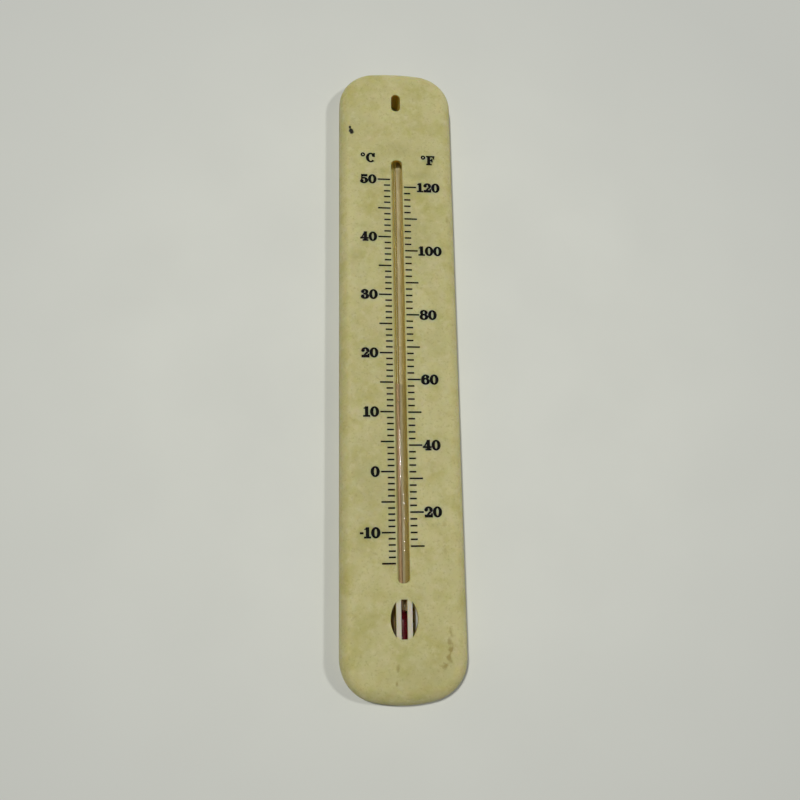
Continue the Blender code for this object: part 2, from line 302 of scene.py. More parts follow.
def case_outline(inset):
    """(point, outward normal) pairs round the case: straight sides, round corners and bowed ends."""
    corner_x = CASE_WIDTH / 2 - CORNER_RADIUS
    pairs = []
    for end, bow in ((1, TOP_BOW_RADIUS), (-1, BOTTOM_BOW_RADIUS)):
        bow_y = CASE_LENGTH / 2 - bow
        lean = math.asin(corner_x / (bow - CORNER_RADIUS))
        corner_y = bow_y + (bow - CORNER_RADIUS) * math.cos(lean)
        quarter = math.pi / 2
        stretches = ((corner_x, corner_y, CORNER_RADIUS, 0, quarter - lean, CORNER_STEPS),
                     (0, bow_y, bow, quarter - lean, quarter + lean, BOW_STEPS),
                     (-corner_x, corner_y, CORNER_RADIUS, quarter + lean, 2 * quarter, CORNER_STEPS))
        for x, y, radius, start, stop, steps in stretches:
            first = 0 if radius == CORNER_RADIUS else 1
            last = steps if radius == CORNER_RADIUS else steps - 1
            for step in range(first, last + 1):
                angle = start + (stop - start) * step / steps
                normal = Vector((end * math.cos(angle), end * math.sin(angle)))
                centre = Vector((end * x, end * y))
                pairs.append((centre + (radius - inset) * normal, normal))
    return pairs


def side_rings(inset):
    """Rings up one side of the wall, outer or inner, from the rim at the back to the flat of the face."""
    pairs = case_outline(inset)
    top = CASE_DEPTH - inset
    turn_in = RIM_ROUNDING if inset == 0 else -RIM_ROUNDING
    rings = []
    for step in range(EDGE_STEPS + 1):
        angle = math.pi / 2 * step / EDGE_STEPS
        pull = turn_in * (1 - math.sin(angle))
        rings.append([(*(p - n * pull), RIM_ROUNDING * (1 - math.cos(angle))) for p, n in pairs])
    for step in range(ROUNDING_STEPS + 1):
        angle = math.pi / 2 * step / ROUNDING_STEPS
        ring = []
        for point, normal in pairs:
            rounding = SIDE_ROUNDING + (END_ROUNDING - SIDE_ROUNDING) * normal.y**2 - inset
            moved = point - normal * rounding * (1 - math.cos(angle))
            ring.append((moved.x, moved.y, top - rounding * (1 - math.sin(angle))))
        rings.append(ring)
    return rings


def flared_cutter(name, outline_at):
    """A tool that cuts a hole through the face and rounds its edge over.

    outline_at gives the hole's outline, grown by a margin.
    """
    levels = [(FACE_BACK - MARGIN, 0), (CASE_DEPTH - EDGE_ROUNDING, 0)]
    for step in range(1, EDGE_STEPS + 1):
        angle = math.pi / 2 * step / EDGE_STEPS
        rise = EDGE_ROUNDING * math.sin(angle)
        levels.append((CASE_DEPTH - EDGE_ROUNDING + rise, EDGE_ROUNDING * (1 - math.cos(angle))))
    levels.append((CASE_DEPTH + MARGIN, EDGE_ROUNDING + MARGIN))
    return loft(name, [[(x, y, z) for x, y in outline_at(grow)] for z, grow in levels])


def slot_outline(width, y_range, corner):
    return lambda grow: rounded_slot(width + 2 * grow, (y_range[0] - grow, y_range[1] + grow), corner + grow)


def segment_outline(side, inner_x, outer_x, centre_y, half_length):
    return lambda grow: circular_segment(side, inner_x - grow, outer_x + grow, centre_y, half_length + grow)


def face_cutters():
    """The stem's slot, the hanging slot, and the bulb window with its two guard bars."""
    stem_y = [along(d) for d in STEM_SLOT_FROM_BOTTOM]
    hanging_y = [along(d) for d in HANGING_SLOT_FROM_BOTTOM]
    window_y = along(WINDOW_FROM_BOTTOM)
    slit_y = (window_y - CENTRE_SLIT_LENGTH / 2, window_y + CENTRE_SLIT_LENGTH / 2)
    bar_x = CENTRE_SLIT_WIDTH / 2 + GUARD_BAR_WIDTH
    half = SIDE_SLIT_LENGTH / 2
    hanging = rounded_slot(HANGING_SLOT_WIDTH, hanging_y, HANGING_SLOT_WIDTH / 2)
    cutters = [prism("cutter", hanging, HANGING_COLLAR_FOOT - MARGIN, FACE_BACK + OVERLAP)]
    for outline_at in (slot_outline(STEM_SLOT_WIDTH, stem_y, STEM_SLOT_CORNER),
                       slot_outline(HANGING_SLOT_WIDTH, hanging_y, HANGING_SLOT_WIDTH / 2),
                       slot_outline(CENTRE_SLIT_WIDTH, slit_y, CENTRE_SLIT_CORNER),
                       segment_outline(-1, bar_x, WINDOW_HALF_WIDTH, window_y, half),
                       segment_outline(1, bar_x, WINDOW_HALF_WIDTH, window_y, half)):
        cutters.append(flared_cutter("cutter", outline_at))
    return cutters


def rib(x_range, y_range, foot):
    return prism("rib", rectangle(x_range, y_range), foot, FACE_BACK + OVERLAP)


def rib_forms():
    """The channel that the tube lies in, its end stop, the cross ribs and the collar of the hanging slot."""
    inner = STEM_RADIUS + GAP
    outer = inner + CHANNEL_RIB
    start, stop = (along(d) for d in CHANNEL_FROM_BOTTOM)
    wall_x = CASE_WIDTH / 2 - WALL + OVERLAP
    forms = []
    for side in (-1, 1):
        forms.append(rib(sorted((side * inner, side * outer)), (start, stop), CHANNEL_RIB_FOOT))
        for place in CROSS_RIBS_FROM_BOTTOM:
            reach = sorted((side * (inner + CHANNEL_RIB / 2), side * wall_x))
            width = (along(place) - CROSS_RIB / 2, along(place) + CROSS_RIB / 2)
            forms.append(rib(reach, width, CROSS_RIB_FOOT))
    tie = (-inner - CHANNEL_RIB / 2, inner + CHANNEL_RIB / 2)
    forms.append(rib(tie, (stop - CHANNEL_RIB, stop), CHANNEL_RIB_FOOT))
    low, high = (along(d) for d in HANGING_SLOT_FROM_BOTTOM)
    width = HANGING_SLOT_WIDTH + 2 * HANGING_COLLAR
    collar = rounded_slot(width, (low - HANGING_COLLAR, high + HANGING_COLLAR), width / 2)
    forms.append(prism("collar", collar, HANGING_COLLAR_FOOT, FACE_BACK + OVERLAP))
    return forms


def make_case(surface):
    shell = loft("case_shell", side_rings(WALL)[::-1] + side_rings(0))
    seat = [(BULB_RADIUS + GAP, BULB_LOW.y - MARGIN), (BULB_RADIUS + GAP, STEM_LOW.y + MARGIN),
            (STEM_RADIUS + GAP, STEM_LOW.y + MARGIN), (STEM_RADIUS + GAP, STEM_HIGH.y + GAP)]
    solve(shell, [turned("seat", seat, TUBE_SEGMENTS)], "DIFFERENCE")
    solve(shell, rib_forms(), "UNION")
    solve(shell, face_cutters(), "DIFFERENCE")
    return weighted(finish(shell, surface, sharp=CASE_SHARP_ANGLE, replaced=["case"]))


# ---------------------------------------------------------------- tube


def circle(radius, x, y, segments):
    """A ring round the tube's axis, or round a line at x beside it."""
    angles = [2 * math.pi * i / segments for i in range(segments)]
    return [(x + radius * math.cos(a), y, TUBE_HEIGHT + radius * math.sin(a)) for a in angles]


def turned(name, profile, segments, x=0.0):
    """A solid of revolution from (radius, y) pairs, about the tube's axis or a line at x beside it."""
    return loft(name, [circle(radius, x, y, segments) for radius, y in profile])


def dome(radius, y, direction):
    """(radius, y) pairs from the base of a round end to near its pole, at y + direction * radius."""
    angles = [DOME_END * step / DOME_STEPS for step in range(DOME_STEPS + 1)]
    return [(radius * math.cos(a), y + direction * radius * math.sin(a)) for a in angles]


def enamel_form(name, radii, half_angle, y_range):
    """A strip that hugs the rear of the stem, turned from straight behind the bore by TUBE_TWIST."""
    middle = -math.pi / 2 + TUBE_TWIST
    angles = [middle + half_angle * (2 * step / ENAMEL_STEPS - 1) for step in range(ENAMEL_STEPS + 1)]
    outer = [(radii[1] * math.cos(a), radii[1] * math.sin(a)) for a in angles]
    inner = [(radii[0] * math.cos(a), radii[0] * math.sin(a)) for a in reversed(angles)]
    return loft(name, [[(x, y, TUBE_HEIGHT + z) for x, z in outer + inner] for y in y_range])


def make_stem(surface):
    profile = [(STEM_RADIUS, STEM_LOW.y)] + dome(STEM_RADIUS, STEM_HIGH.y - STEM_RADIUS, 1)
    stem = turned("stem_glass", profile, TUBE_SEGMENTS)
    bore = [(BORE_RADIUS, STEM_LOW.y - MARGIN), (BORE_RADIUS, STEM_HIGH.y - BORE_END_WALL)]
    radii = (STEM_RADIUS - ENAMEL_THICKNESS + 2 * CLEARANCE, STEM_RADIUS + MARGIN)
    groove_y = (ENAMEL_LOW.y - CLEARANCE, ENAMEL_HIGH.y + CLEARANCE)
    groove = enamel_form("groove", radii, ENAMEL_HALF_ANGLE + CLEARANCE / STEM_RADIUS, groove_y)
    solve(stem, [turned("bore", bore, BORE_SEGMENTS, BORE_X), groove], "DIFFERENCE")
    return finish(shadowless(stem), surface, replaced=["glass_stem"])


def make_enamel(surface):
    radii = (STEM_RADIUS - ENAMEL_THICKNESS + CLEARANCE, STEM_RADIUS)
    band = enamel_form("enamel_band", radii, ENAMEL_HALF_ANGLE, (ENAMEL_LOW.y, ENAMEL_HIGH.y))
    return finish(band, surface, replaced=["enamel_strip"])


def bulb_profile(inset):
    """(radius, y) pairs of the bulb from its round bottom to its neck, inset for the inside of the glass."""
    radius = BULB_RADIUS - inset
    neck = BULB_NECK_RADIUS - 2 * inset
    pairs = dome(radius, BULB_LOW.y + BULB_RADIUS, -1)[::-1]
    for step in range(SHOULDER_STEPS + 1):
        share = step / SHOULDER_STEPS
        ease = share * share * (3 - 2 * share)
        y = BULB_HIGH.y - BULB_SHOULDER * (1 - share) - inset
        pairs.append((radius + (neck - radius) * ease, y))
    return pairs


def make_bulb(surface):
    bulb = turned("bulb_glass", bulb_profile(0), TUBE_SEGMENTS)
    inside = bulb_profile(BULB_WALL + 2 * CLEARANCE)
    inside.append((inside[-1][0], BULB_HIGH.y + MARGIN))
    solve(bulb, [turned("cavity", inside, TUBE_SEGMENTS)], "DIFFERENCE")
    return finish(shadowless(bulb), surface, replaced=["glass_bulb"])


def make_reservoir(surface):
    inside = bulb_profile(BULB_WALL + CLEARANCE)
    inside.append((inside[-1][0], BULB_HIGH.y))
    filling = turned("bulb_filling", inside, TUBE_SEGMENTS)
    return finish(filling, surface, replaced=["spirit_reservoir"])


def make_thread(surface):
    """The stretch of spirit that grows: its foot stays in the tube and its head follows the column."""
    ends = (THREAD_LOW.y, THREAD_HIGH.y)
    thread = turned("column_thread", [(THREAD_RADIUS, y) for y in ends], BORE_SEGMENTS, BORE_X)
    sharp = SPIRIT_SHARP_ANGLE
    finish(shadowless(thread), surface, sharp, body=None, replaced=["spirit_thread"])
    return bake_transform(thread)


def make_meniscus(surface):
    """The head of the column, dished where the spirit climbs the glass."""
    profile = [(THREAD_RADIUS, MENISCUS_LOW.y), (THREAD_RADIUS, MENISCUS_HIGH.y)]
    for step in range(1, DISH_STEPS):
        share = 1 - step / DISH_STEPS
        profile.append((THREAD_RADIUS * share, MENISCUS_HIGH.y - MENISCUS_DISH * (1 - share**2)))
    head = turned("column_head", profile, BORE_SEGMENTS, BORE_X)
    shadowless(head)
    sharp = SPIRIT_SHARP_ANGLE
    return finish(head, surface, sharp, body=COLUMN, replaced=["spirit_meniscus"])


# ---------------------------------------------------------------- printed scale

# A figure is drawn in units of its height, from convex pieces: bars (x0, y0, x1, y1), corner-by-corner
# slabs, balls (x, y, radius), and bows, which are parts of an elliptical ring
# (x, y, x_radius, y_radius, side_weight, end_weight, start, stop), in degrees.
FIGURES = {
    "0": (0.84, [("bow", 0.42, 0.5, 0.42, 0.51, 0.26, 0.11, 0, 360)]),
    "1": (0.68, [("bar", 0.22, 0, 0.48, 1), ("bar", 0.04, 0, 0.66, 0.11),
                 ("slab", (0.05, 0.78), (0.22, 0.8), (0.36, 1), (0.26, 1), (0.05, 0.88))]),
    "2": (0.82, [("ball", 0.17, 0.72, 0.15), ("bow", 0.41, 0.69, 0.38, 0.32, 0.26, 0.11, -25, 180),
                 ("slab", (0.03, 0.02), (0.34, 0.12), (0.79, 0.57), (0.48, 0.57)),
                 ("bar", 0.05, 0, 0.79, 0.21), ("bar", 0.68, 0, 0.79, 0.34)]),
    "3": (0.82, [("ball", 0.18, 0.77, 0.14), ("bow", 0.4, 0.75, 0.34, 0.26, 0.25, 0.1, -90, 160),
                 ("ball", 0.17, 0.25, 0.15), ("bow", 0.4, 0.28, 0.41, 0.29, 0.27, 0.11, -165, 90),
                 ("bar", 0.27, 0.47, 0.44, 0.58)]),
    "4": (0.86, [("bar", 0.42, 0, 0.68, 1), ("bar", 0.28, 0, 0.82, 0.11), ("bar", 0.02, 0.24, 0.84, 0.36),
                 ("slab", (0, 0.24), (0.17, 0.24), (0.62, 1.02), (0.43, 1.02))]),
    "5": (0.82, [("bar", 0.12, 0.8, 0.74, 1), ("bar", 0.12, 0.44, 0.22, 1), ("ball", 0.17, 0.23, 0.15),
                 ("bow", 0.39, 0.32, 0.42, 0.34, 0.27, 0.11, -165, 130)]),
    "6": (0.84, [("bow", 0.44, 0.5, 0.43, 0.51, 0.27, 0.1, 60, 270), ("ball", 0.65, 0.78, 0.14),
                 ("bow", 0.42, 0.32, 0.41, 0.33, 0.25, 0.1, 0, 360)]),
    "8": (0.84, [("bow", 0.42, 0.75, 0.37, 0.27, 0.24, 0.1, 0, 360),
                 ("bow", 0.42, 0.28, 0.42, 0.3, 0.26, 0.1, 0, 360)]),
    "-": (0.32, [("bar", 0.01, 0.4, 0.3, 0.53)]),
    "o": (0.5, [("bow", 0.2, 0.82, 0.2, 0.2, 0.075, 0.075, 0, 360)]),
    "C": (0.88, [("bow", 0.46, 0.5, 0.46, 0.51, 0.24, 0.09, 38, 320), ("bar", 0.76, 0.6, 0.86, 1),
                 ("ball", 0.72, 0.72, 0.1)]),
    "F": (0.84, [("bar", 0.12, 0, 0.37, 1), ("bar", 0, 0, 0.52, 0.1), ("bar", 0, 0.9, 0.82, 1),
                 ("slab", (0.72, 0.66), (0.82, 0.62), (0.82, 1), (0.55, 1)),
                 ("bar", 0.3, 0.46, 0.6, 0.56), ("bar", 0.53, 0.34, 0.62, 0.7)]),
}


def figure_faces(strokes):
    """The convex faces that a figure's strokes are made of, each stroke grown by FIGURE_BOLDNESS."""
    grow = FIGURE_BOLDNESS
    faces = []
    for kind, *values in strokes:
        if kind == "bar":
            x0, y0, x1, y1 = values
            faces.append(rectangle((x0 - grow, x1 + grow), (y0 - grow, y1 + grow)))
        elif kind == "slab":
            faces.append(values)
        elif kind == "ball":
            x, y, radius = values
            count = round(360 / (2 * BOW_STEP))
            angles = [2 * math.pi * i / count for i in range(count)]
            radius += grow
            faces.append([(x + radius * math.cos(a), y + radius * math.sin(a)) for a in angles])
        else:
            x, y, x_radius, y_radius, side, end, start, stop = values
            x_radius, y_radius = x_radius + grow, y_radius + grow
            side, end = side + 2 * grow, end + 2 * grow
            count = max(2, round((stop - start) / BOW_STEP))
            angles = [math.radians(start + (stop - start) * i / count) for i in range(count + 1)]
            outer = [(x + x_radius * math.cos(a), y + y_radius * math.sin(a)) for a in angles]
            x_radius, y_radius = x_radius - side, y_radius - end
            inner = [(x + x_radius * math.cos(a), y + y_radius * math.sin(a)) for a in angles]
            faces += [(outer[i], outer[i + 1], inner[i + 1], inner[i]) for i in range(count)]
    return faces


def merged(faces):
    """Overlapping faces made into one flat mesh: its points, and its triangles with no overlap."""
    points, loops = [], []
    for face in faces:
        loops.append(list(range(len(points), len(points) + len(face))))
        points += [Vector(point) for point in face]
    settings = (TRIANGLES_INSIDE, MERGE_TOLERANCE, True)
    corners, _, parts, _, _, owners = delaunay_2d_cdt(points, [], loops, *settings)
    return corners, [part for part, owner in zip(parts, owners) if owner]


def ink_object(name, shapes, surface):
    """One printed piece from (faces, move) pairs: flat faces joined up, then given the ink's thickness."""
    mesh = bmesh.new()
    low, high = CASE_DEPTH - INK_ROOT, CASE_DEPTH + INK_TOP
    for faces, place in shapes:
        corners, parts = merged(faces)
        placed = [place(*corner) for corner in corners]
        used = sorted({index for part in parts for index in part})
        upper = {i: mesh.verts.new((*placed[i], high)) for i in used}
        lower = {i: mesh.verts.new((*placed[i], low)) for i in used}
        sides = {}
        for part in parts:
            mesh.faces.new([upper[i] for i in part])
            mesh.faces.new([lower[i] for i in reversed(part)])
            for a, b in zip(part, part[1:] + part[:1]):
                sides[(a, b)] = True
        for a, b in sides:
            if (b, a) not in sides:
                mesh.faces.new((upper[b], upper[a], lower[a], lower[b]))
    bmesh.ops.dissolve_limit(mesh, angle_limit=FLAT_ANGLE, verts=mesh.verts, edges=mesh.edges)
    bmesh.ops.recalc_face_normals(mesh, faces=mesh.faces)
    return finish(new_object(name, mesh), surface, INK_SHARP_ANGLE)


def scale_y(celsius):
    """How high on the case a temperature is printed: the warmer, the longer its degrees."""
    stretch = DEGREE_STRETCH + DEGREE_STRETCH_RATE * celsius
    return ZERO_HEIGHT + celsius * (DEGREE_PITCH + celsius * stretch)


def fahrenheit_y(fahrenheit):
    """The Fahrenheit scale is printed a little lower than the Celsius one, and more so towards its top."""
    celsius = (fahrenheit - 32) / 1.8
    return scale_y(celsius) - FAHRENHEIT_DROP - FAHRENHEIT_DROP_RATE * celsius


def tick(side, y, is_long):
    """The (faces, move) pair of one mark, on the side of the slot given by -1 or 1."""
    length = LONG_TICK if is_long else SHORT_TICK
    x_range = sorted((side * TICK_START, side * (TICK_START + length)))
    return [rectangle(x_range, (y - TICK_WIDTH / 2, y + TICK_WIDTH / 2))], lambda x, y: (x, y)


def text_width(text):
    return FIGURE_HEIGHT * (sum(FIGURES[letter][0] + FIGURE_GAP for letter in text) - FIGURE_GAP)


def lettering(text, start, base, height=FIGURE_HEIGHT):
    """(faces, move) pairs of a row of figures, from its left edge and its base line."""
    shapes = []
    for letter in text:
        width, strokes = FIGURES[letter]
        move = lambda x, y, start=start: (start + x * height, base + y * height)
        shapes.append((figure_faces(strokes), move))
        start += (width + FIGURE_GAP) * height
    return shapes


def make_scale(surface):
    celsius = [tick(-1, scale_y(t), t % CELSIUS_LONG_EVERY == 0) for t in CELSIUS_TICKS]
    ink_object("ticks_celsius", celsius, surface)
    fahrenheit = [tick(1, fahrenheit_y(t), t % FAHRENHEIT_LONG_EVERY == 0) for t in FAHRENHEIT_TICKS]
    ink_object("ticks_fahrenheit", fahrenheit, surface)
    left, right = [], []
    for t in CELSIUS_FIGURES:
        base = scale_y(t) - FIGURE_HEIGHT / 2
        left += lettering(str(t), CELSIUS_FIGURE_EDGE - text_width(str(t)), base)
    for t in FAHRENHEIT_FIGURES:
        base = fahrenheit_y(t) - FIGURE_HEIGHT / 2
        right += lettering(str(t), FAHRENHEIT_FIGURE_EDGE, base)
    ink_object("figures_celsius", left, surface)
    ink_object("figures_fahrenheit", right, surface)
    celsius = lettering("oC", CELSIUS_UNIT_START, along(CELSIUS_UNIT_FROM_BOTTOM), UNIT_HEIGHT)
    ink_object("unit_celsius", celsius, surface)
    fahrenheit = lettering("oF", FAHRENHEIT_UNIT_START, along(FAHRENHEIT_UNIT_FROM_BOTTOM), UNIT_HEIGHT)
    ink_object("unit_fahrenheit", fahrenheit, surface)


# ---------------------------------------------------------------- cement


def make_dab(name, node, surface):
    """A lumpy drop of cement in place of a CAD dab: its form is rounded off and dented, never swollen."""
    piece = bpy.data.objects.new(name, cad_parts[node].data.copy())
    bpy.context.scene.collection.objects.link(piece)
    mesh = bmesh.new()
    mesh.from_mesh(piece.data)
    bmesh.ops.remove_doubles(mesh, verts=mesh.verts, dist=WELD)
    mesh.to_mesh(piece.data)
    mesh.free()
    refine = piece.modifiers.new("refine", "REMESH")
    refine.mode = "VOXEL"
    refine.voxel_size = CEMENT_CELL
    soften = piece.modifiers.new("soften", "SMOOTH")
    soften.iterations = CEMENT_SOFTENING
    solve(piece, [], "UNION")
    for vertex in piece.data.vertices:
        dent = CEMENT_DENT * (1 + noise.noise(vertex.co / CEMENT_LUMP)) / 2
        vertex.co -= vertex.normal * dent
    return finish(piece, surface, CEMENT_SHARP_ANGLE, replaced=[node])


# ---------------------------------------------------------------- materials


def add(tree, kind, inputs=None, **settings):
    """A node with its settings, and with each named input set to a value or linked to a socket."""
    made = tree.nodes.new(kind)
    for key, value in settings.items():
        setattr(made, key, value)
    for key, value in (inputs or {}).items():
        if isinstance(value, bpy.types.NodeSocket):
            tree.links.new(value, made.inputs[key])
        else:
            made.inputs[key].default_value = value
    return made


def new_material(name):
    made = bpy.data.materials.new(name)
    made.use_nodes = True
    tree = made.node_tree
    return made, tree, tree.nodes["Principled BSDF"], add(tree, "ShaderNodeTexCoord").outputs["Object"]


def grain(tree, vector, scale, detail=4, roughness=0.5):
    """Noise with about this many lumps in a metre."""
    values = {"Vector": vector, "Scale": scale, "Detail": detail, "Roughness": roughness}
    return add(tree, "ShaderNodeTexNoise", values).outputs[0]


def remap(tree, value, low, high, new_low=0, new_high=1):
    values = {"Value": value, "From Min": low, "From Max": high, "To Min": new_low, "To Max": new_high}
    return add(tree, "ShaderNodeMapRange", values).outputs[0]


def math_node(tree, operation, first, second):
    return add(tree, "ShaderNodeMath", {0: first, 1: second}, operation=operation).outputs[0]


def mix_color(tree, share, first, second):
    return add(tree, "ShaderNodeMix", {0: share, 6: first, 7: second}, data_type="RGBA").outputs[2]


def blot(tree, vector, place, radii, edge, wobble=0.0):
    """1 inside an upright oval on the face, 0 outside it, with its outline shaken by noise."""
    centre = (place[0] * MM, along(place[1] * MM), 0)
    scale = (1 / (radii[0] * MM), 1 / (radii[1] * MM), 0)
    offset = add(tree, "ShaderNodeVectorMath", {0: vector, 1: centre}, operation="SUBTRACT").outputs[0]
    scaled = add(tree, "ShaderNodeVectorMath", {0: offset, 1: scale}, operation="MULTIPLY").outputs[0]
    distance = add(tree, "ShaderNodeVectorMath", {0: scaled}, operation="LENGTH").outputs["Value"]
    if wobble:
        shake = remap(tree, grain(tree, vector, 700, detail=3), 0.3, 0.7, -wobble, wobble)
        distance = math_node(tree, "ADD", distance, shake)
    return remap(tree, distance, 1 + edge, 1 - edge)


def bump(tree, shader, layers):
    """Chains bump layers given as (height socket, strength, distance)."""
    normal = None
    for height, strength, distance in layers:
        values = {"Height": height, "Strength": strength, "Distance": distance}
        if normal:
            values["Normal"] = normal
        normal = add(tree, "ShaderNodeBump", values).outputs[0]
    tree.links.new(normal, shader.inputs["Normal"])


def link(tree, socket, shader, name):
    tree.links.new(socket, shader.inputs[name])


def settle(shader, values):
    """Sets the shader's own constants."""
    for name, value in values.items():
        shader.inputs[name].default_value = value


# Colours are linear (red, green, blue, alpha)
CREAM = ((0.53, 0.493, 0.232, 1), (0.585, 0.545, 0.275, 1))
YELLOWED = (0.48, 0.445, 0.165, 1)
WORN = (0.64, 0.6, 0.34, 1)
SPECK = (0.36, 0.32, 0.12, 1)
SMUDGE = (0.3, 0.28, 0.09, 1)
BROWN = (0.31, 0.24, 0.065, 1)
SOOT = (0.008, 0.006, 0.003, 1)
BAR_WHITE = (0.64, 0.57, 0.47, 1)
# Painted shade: the plastic darkens low on the walls, towards the rim at the back
LOW_WALL_SHADE = (0.33, 0.28, 0.1, 1)
# Amber inside the shell: less bleached plastic, and painted amber shade in the recesses
UNBLEACHED_AMBER_AND_SHADE = (0.55, 0.42, 0.07, 1)
# Painted glow, standing in for light let through the thin wall
PAINTED_GLOW = ((0.85, 0.6, 0.06, 1), (1, 0.75, 0.1, 1))
BLACK = (0, 0, 0, 1)

# Where each tint of the plastic fades in: it starts at the first distance and is full at the second
BAR_HALF_WIDTHS = (3.3 * MM, 2.9 * MM)
BAR_MARGIN = 0.2 * MM
BAR_SHARE = 0.9
BAR_SOFTNESS = 0.08
# The painted shade low on the walls fades in between these heights
LOW_WALL_SHADE_HEIGHTS = (7.5 * MM, 2.5 * MM)
LOW_WALL_SHADE_SHARE = 0.6
# The amber inside, partly painted shade, fades in below the face and away from the outer walls
AMBER_SHADE_HEIGHTS = (8.8 * MM, 8.2 * MM)
AMBER_SHADE_MARGINS = (4 * MM, 10 * MM)
# The painted glow lies under the face, near the channel
PAINTED_GLOW_HEIGHTS = (FACE_BACK + 0.3 * MM, FACE_BACK - 0.2 * MM)
PAINTED_GLOW_HALF_WIDTHS = (11 * MM, 4 * MM)
PAINTED_GLOW_HALF_LENGTHS = (94 * MM, 82 * MM)
PAINTED_GLOW_STRENGTH = 0.2

# Marks on the face, in millimetres: (x, distance from the bottom end), half-sizes, and then each mark's
# softness, wobble and strength
FRESH_STAINS = (
    ((-16.1, 191.1), (0.42, 0.55), 0.25, 0.3, 1),
    ((-15.7, 189.7), (0.75, 1.1), 0.25, 0.4, 1),
)
BROWN_STAINS = (
    ((-2.2, 11.2), (0.5, 0.9), 0.5, 0.5, 0.6),
    ((-2.6, 6.9), (0.4, 0.6), 0.5, 0.4, 0.7),
    ((14.1, 21.2), (0.5, 1.1), 0.5, 0.8, 0.6),
    ((13.6, 18.6), (0.5, 1.4), 0.5, 0.8, 0.6),
    ((13.9, 16.1), (0.8, 1.0), 0.5, 0.9, 0.75),
    ((13.3, 13.6), (0.7, 1.1), 0.5, 0.9, 0.65),
    ((12.0, 11.6), (1.1, 0.7), 0.5, 0.9, 0.75),
    ((17.0, 157.1), (0.5, 0.9), 0.6, 0.6, 0.4),
    ((13.2, 53.9), (0.5, 0.7), 0.6, 0.6, 0.3),
    ((13.0, 45.6), (0.5, 0.7), 0.6, 0.6, 0.3),
)
SMUDGES = (
    ((-4.6, 174.7), (2.6, 0.9), 0.9, 0.4, 0.3),
    ((7.6, 173.4), (4.2, 1.1), 0.9, 0.4, 0.3),
    ((-0.5, 182.9), (3.2, 2.2), 0.9, 0.4, 0.25),
    ((-14.9, 143), (1.8, 2.2), 0.9, 0.5, 0.3),
    ((-12, 154.3), (2.4, 1.2), 0.9, 0.5, 0.2),
    ((6, 150), (5, 7), 0.9, 0.5, 0.15),
    ((-9, 62), (5, 9), 0.9, 0.5, 0.15),
    ((8, 8), (7, 4), 0.9, 0.5, 0.2),
)


